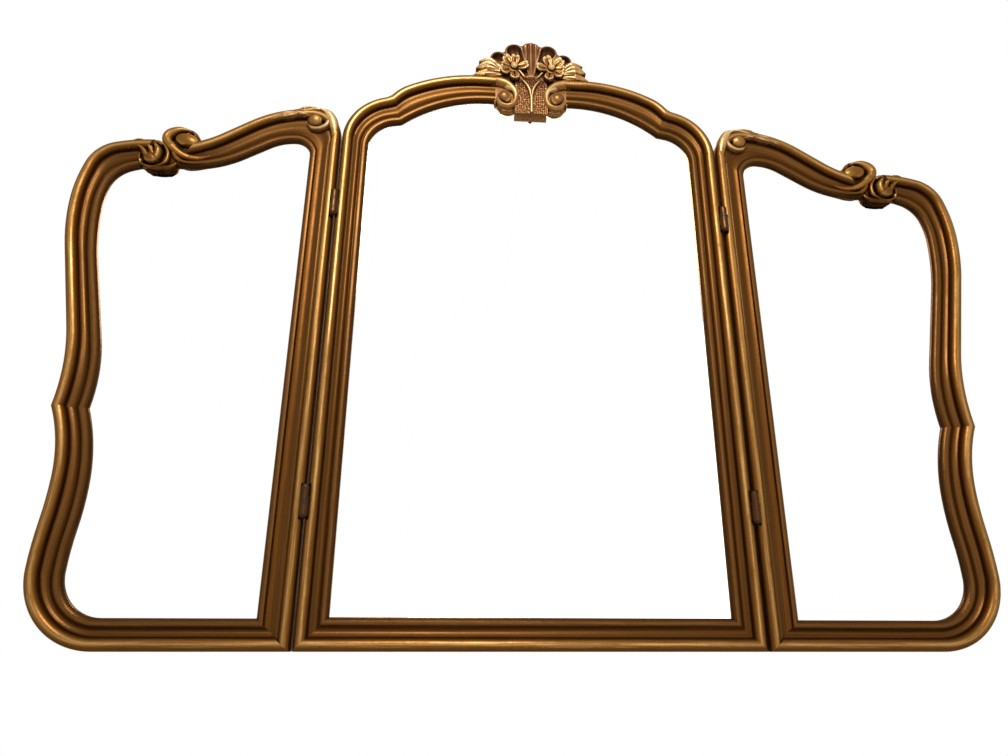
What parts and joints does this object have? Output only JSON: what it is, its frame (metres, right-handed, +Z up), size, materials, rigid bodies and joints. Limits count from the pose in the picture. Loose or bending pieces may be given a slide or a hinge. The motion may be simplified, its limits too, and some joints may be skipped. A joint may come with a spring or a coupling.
{
  "type": "folding wall mirror",
  "caption": "Gilded wall mirror with an arched centre panel, a shell and flower crest, and shaped wings on barrel hinges that fold forward.",
  "frame": {"origin": "on the back face, midway between the centres of the two hanging holes", "axes": "+X to the right as a viewer faces the mirror, -Y out of the wall towards the viewer, +Z up"},
  "size_m": [1.123, 0.029, 0.7835],
  "materials": {
    "gilded_wood": "metallic gold leaf, rubbed on the edges",
    "worn_gilding": "thin bronze gilding over reddish brown bole, dark in the hollows",
    "mirror_glass": "silvered float glass",
    "backing_board": "raw brown hardboard",
    "aged_brass": "dull, darkened by age",
    "plated_steel": "yellow plated",
    "steel": "plain"
  },
  "bodies": {
    "centre_panel": {"centre_bottom_rail": "gilded_wood", "centre_left_stile": "gilded_wood", "centre_right_stile": "gilded_wood", "centre_left_shoulder": "gilded_wood", "centre_right_shoulder": "gilded_wood", "centre_left_arch": "gilded_wood", "centre_right_arch": "gilded_wood", "crest_block": "worn_gilding", "crest_volutes": "gilded_wood", "crest_stem": "gilded_wood", "crest_shell": "worn_gilding", "crest_left_flower": "gilded_wood", "crest_right_flower": "gilded_wood", "crest_leaves": "gilded_wood", "centre_glass": "mirror_glass", "centre_backing": "backing_board", "centre_sprigs": "steel", "hanger_plates": "plated_steel", "hanger_screws": "steel", "left_lower_hinge_base": "aged_brass", "left_lower_hinge_pin": "steel", "left_upper_hinge_base": "aged_brass", "left_upper_hinge_pin": "steel", "right_lower_hinge_base": "aged_brass", "right_lower_hinge_pin": "steel", "right_upper_hinge_base": "aged_brass", "right_upper_hinge_pin": "steel", "hinge_rings": "aged_brass"},
    "left_wing": {"left_inner_stile": "gilded_wood", "left_bottom_rail": "gilded_wood", "left_lower_stile": "gilded_wood", "left_upper_stile": "gilded_wood", "left_shoulder": "gilded_wood", "left_top_rail": "gilded_wood", "left_scroll": "gilded_wood", "left_knot": "gilded_wood", "left_corner_leaf": "gilded_wood", "left_glass": "mirror_glass", "left_backing": "backing_board", "left_sprigs": "steel", "left_lower_hinge_socket": "aged_brass", "left_upper_hinge_socket": "aged_brass"},
    "right_wing": {"right_inner_stile": "gilded_wood", "right_bottom_rail": "gilded_wood", "right_lower_stile": "gilded_wood", "right_upper_stile": "gilded_wood", "right_shoulder": "gilded_wood", "right_top_rail": "gilded_wood", "right_scroll": "gilded_wood", "right_knot": "gilded_wood", "right_corner_leaf": "gilded_wood", "right_glass": "mirror_glass", "right_backing": "backing_board", "right_sprigs": "steel", "right_lower_hinge_socket": "aged_brass", "right_upper_hinge_socket": "aged_brass"}
  },
  "joints": [
    {"name": "left_wing_fold", "type": "hinge", "parent": "centre_panel", "child": "left_wing", "pos_m": [-0.2465, -0.0225, -0.237], "axis": [0, 0, 1], "range_deg": [0, 140]},
    {"name": "right_wing_fold", "type": "hinge", "parent": "centre_panel", "child": "right_wing", "pos_m": [0.2465, -0.0225, -0.237], "axis": [0, 0, -1], "range_deg": [0, 140]}
  ]
}
